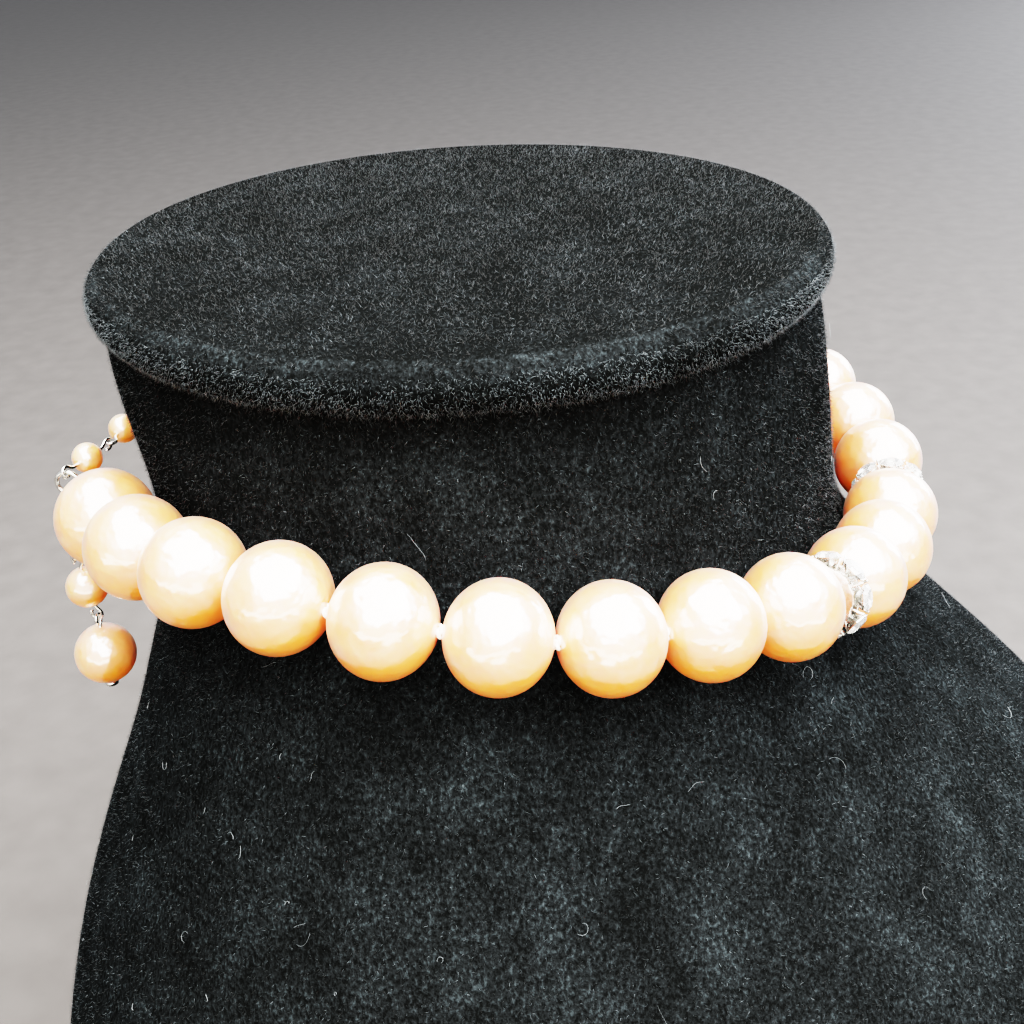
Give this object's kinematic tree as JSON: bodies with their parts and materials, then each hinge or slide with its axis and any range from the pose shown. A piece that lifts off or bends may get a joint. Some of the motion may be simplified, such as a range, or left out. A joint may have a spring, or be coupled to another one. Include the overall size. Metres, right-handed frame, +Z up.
{
  "type": "pearl choker necklace on a neck bust",
  "caption": "A single-strand pearl choker with stone-set rondelles, hook clasp and pearl extender, fastened round a black flocked neck bust",
  "frame": {"origin": "middle of the bust's flat base, on the surface it stands on", "axes": "+Z up, -Y the way the wearer faces, +X the wearer's left"},
  "size_m": [0.211, 0.191, 0.1507],
  "materials": {
    "pearl": "pearlescent lacquer over a bead, champagne",
    "silver": "bright silver-tone plating",
    "crystal": "clear faceted stones in the rondelles",
    "silk": "twisted silk stringing thread and knots",
    "flock": "black velvet flock"
  },
  "bodies": {
    "root": {"pearl_01": "pearl", "pearl_02": "pearl", "pearl_03": "pearl", "pearl_04": "pearl", "pearl_05": "pearl", "pearl_06": "pearl", "pearl_07": "pearl", "pearl_08": "pearl", "pearl_09": "pearl", "pearl_10": "pearl", "pearl_11": "pearl", "pearl_12": "pearl", "pearl_13": "pearl", "pearl_14": "pearl", "pearl_15": "pearl", "pearl_16": "pearl", "pearl_17": "pearl", "pearl_18": "pearl", "pearl_19": "pearl", "pearl_20": "pearl", "pearl_21": "pearl", "pearl_22": "pearl", "pearl_23": "pearl", "pearl_24": "pearl", "rondelle_right": "silver", "rondelle_front": "silver", "rondelle_left": "silver", "silk_thread": "silk", "bead_tip_right": "silver", "bead_tip_left": "silver", "clasp_hook": "silver", "catch_ring": "silver", "extender_link_1": "silver", "extender_link_2": "silver", "extender_link_3": "silver", "extender_link_4": "silver", "extender_link_5": "silver", "extender_link_6": "silver", "extender_link_7": "silver", "extender_pearl_1": "pearl", "extender_pearl_2": "pearl", "extender_pearl_3": "pearl", "extender_pearl_4": "pearl", "extender_pearl_5": "pearl", "extender_pearl_6": "pearl", "extender_pearl_7": "pearl", "drop_pin": "silver", "drop_pearl": "pearl", "neck_bust": "flock"}
  },
  "joints": []
}
